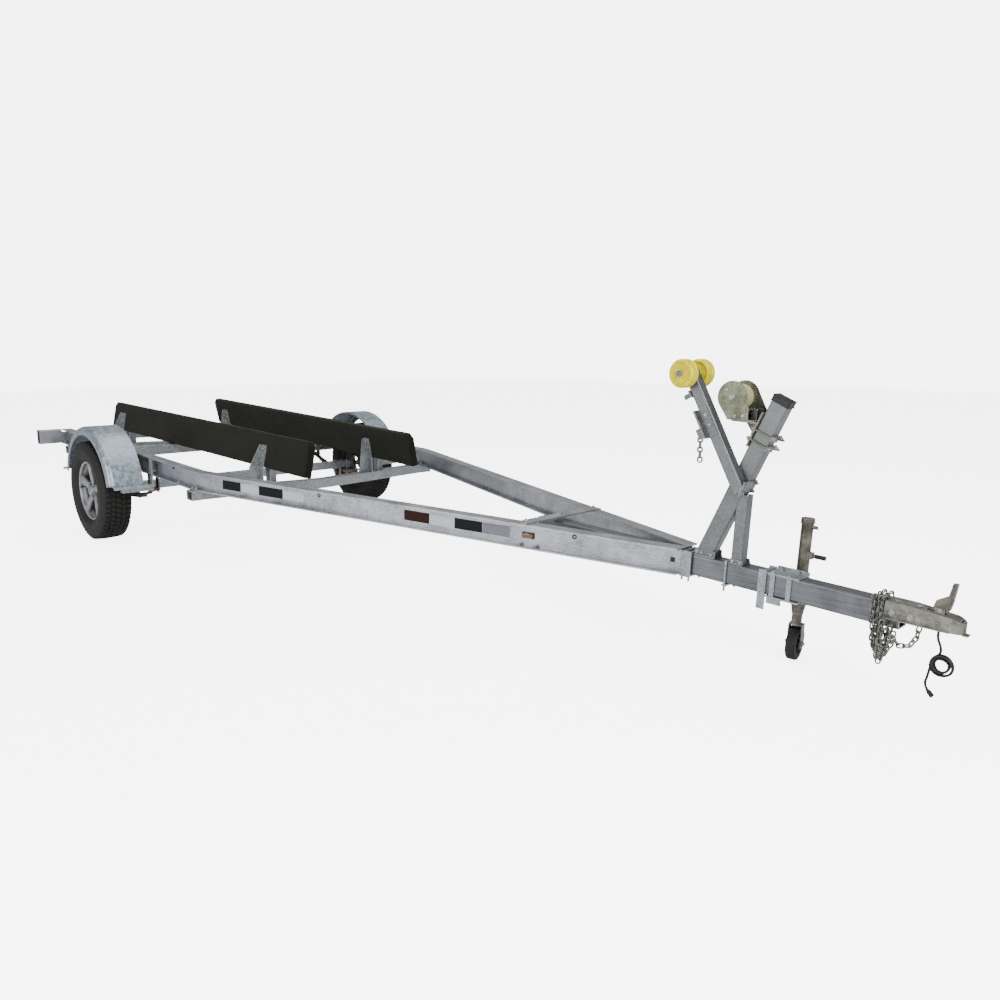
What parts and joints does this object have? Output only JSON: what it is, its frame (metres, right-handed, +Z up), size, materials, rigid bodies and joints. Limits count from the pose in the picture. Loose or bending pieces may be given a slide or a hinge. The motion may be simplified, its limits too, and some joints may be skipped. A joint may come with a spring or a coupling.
{
  "type": "boat trailer",
  "caption": "Single-axle aluminium boat trailer with carpeted bunks, leaning winch stand, bow rollers, swivel tongue jack and ball coupler, parked on its jack.",
  "frame": {"origin": "on the floor under the middle of the bounding box, cord left out", "axes": "+X forward to the coupler, +Y to the left, +Z up"},
  "size_m": [6.6118, 2.405, 1.2505],
  "materials": {
    "alu": "brushed mill finish",
    "galv": "hot-dip galvanised",
    "zinc": "zinc plated",
    "tyre": "moulded",
    "rim": "silver enamel",
    "carpet": "needle-punched carpet over timber",
    "plastic": "moulded",
    "roller": "translucent yellow",
    "lamp": "moulded lens",
    "strap": "woven webbing",
    "rubber": "moulded",
    "cord": "jacketed wire",
    "spring": "dark oxide"
  },
  "bodies": {
    "frame": {"axle": "galv", "beam_left": "alu", "beam_right": "alu", "bow_hook": "zinc", "bunk_brackets": "galv", "bunk_crossmembers": "alu", "bunk_left": "carpet", "bunk_right": "carpet", "cord": "cord", "cord_coil": "cord", "cord_plug": "cord", "coupler": "zinc", "fender_bars": "galv", "fender_left": "alu", "fender_right": "alu", "front_brace": "alu", "jack_mount": "zinc", "lamps": "lamp", "leaf_spring_left": "spring", "leaf_spring_right": "spring", "mid_crossmember": "alu", "post_cap": "plastic", "rear_crossmember": "alu", "roller_arm": "alu", "safety_chains": "zinc", "stand_clamps": "zinc", "tongue": "alu", "tongue_clamps": "galv", "winch_frame": "zinc", "winch_post": "alu", "winch_strut": "alu"},
    "wheel_right_body": {"tyre_right": "tyre", "wheel_right": "rim"},
    "wheel_left_body": {"tyre_left": "tyre", "wheel_left": "rim"},
    "bow_roller_right_body": {"bow_roller_right": "roller"},
    "bow_roller_left_body": {"bow_roller_left": "roller"},
    "drum_body": {"winch_drum": "zinc", "winch_strap": "strap"},
    "crank_body": {"winch_crank": "zinc", "crank_grip": "plastic"},
    "latch_body": {"coupler_latch": "zinc"},
    "jack_body": {"jack_tube": "zinc"},
    "jack_leg_body": {"jack_leg": "zinc"},
    "jack_fork_body": {"jack_fork": "zinc"},
    "jack_wheel_body": {"jack_wheel": "rubber"}
  },
  "joints": [
    {"name": "wheel_right_spin", "type": "hinge", "parent": "frame", "child": "wheel_right_body", "pos_m": [-1.87567, -1.1, 0.344], "axis": [0, 1, 0], "continuous": true},
    {"name": "wheel_left_spin", "type": "hinge", "parent": "frame", "child": "wheel_left_body", "pos_m": [-1.87567, 1.1, 0.344], "axis": [0, 1, 0], "continuous": true},
    {"name": "bow_roller_right_spin", "type": "hinge", "parent": "frame", "child": "bow_roller_right_body", "pos_m": [2.19063, -0.113, 1.19155], "axis": [0, 1, 0], "continuous": true},
    {"name": "bow_roller_left_spin", "type": "hinge", "parent": "frame", "child": "bow_roller_left_body", "pos_m": [2.19063, 0.011, 1.19155], "axis": [0, 1, 0], "continuous": true},
    {"name": "winch_drum_turn", "type": "hinge", "parent": "frame", "child": "drum_body", "pos_m": [2.38183, 0, 1.09922], "axis": [0, 1, 0], "continuous": true},
    {"name": "winch_crank_turn", "type": "hinge", "parent": "frame", "child": "crank_body", "pos_m": [2.43715, 0, 1.04858], "axis": [0, 1, 0], "continuous": true},
    {"name": "coupler_latch_close", "type": "hinge", "parent": "frame", "child": "latch_body", "pos_m": [3.20873, 0, 0.38292], "axis": [0, -1, 0], "range_deg": [0, 80]},
    {"name": "jack_swing", "type": "hinge", "parent": "frame", "child": "jack_body", "pos_m": [2.6332, 0.141, 0.3597], "axis": [0, 1, 0], "range_deg": [0, 90]},
    {"name": "jack_lift", "type": "slide", "parent": "jack_body", "child": "jack_leg_body", "axis": [-0.0431, 0, -0.9991], "range_m": [-0.04, 0.095]},
    {"name": "jack_caster_swivel", "type": "hinge", "parent": "jack_leg_body", "child": "jack_fork_body", "pos_m": [2.62442, 0.141, 0.15638], "axis": [0.0431, 0, 0.9991], "continuous": true},
    {"name": "jack_wheel_spin", "type": "hinge", "parent": "jack_fork_body", "child": "jack_wheel_body", "pos_m": [2.61916, 0.15085, 0.07453], "axis": [0.9839, 0.1736, -0.0424], "continuous": true}
  ],
  "couplings": [
    {"joint": "winch_crank_turn", "follows": "winch_drum_turn", "ratio": -4}
  ]
}
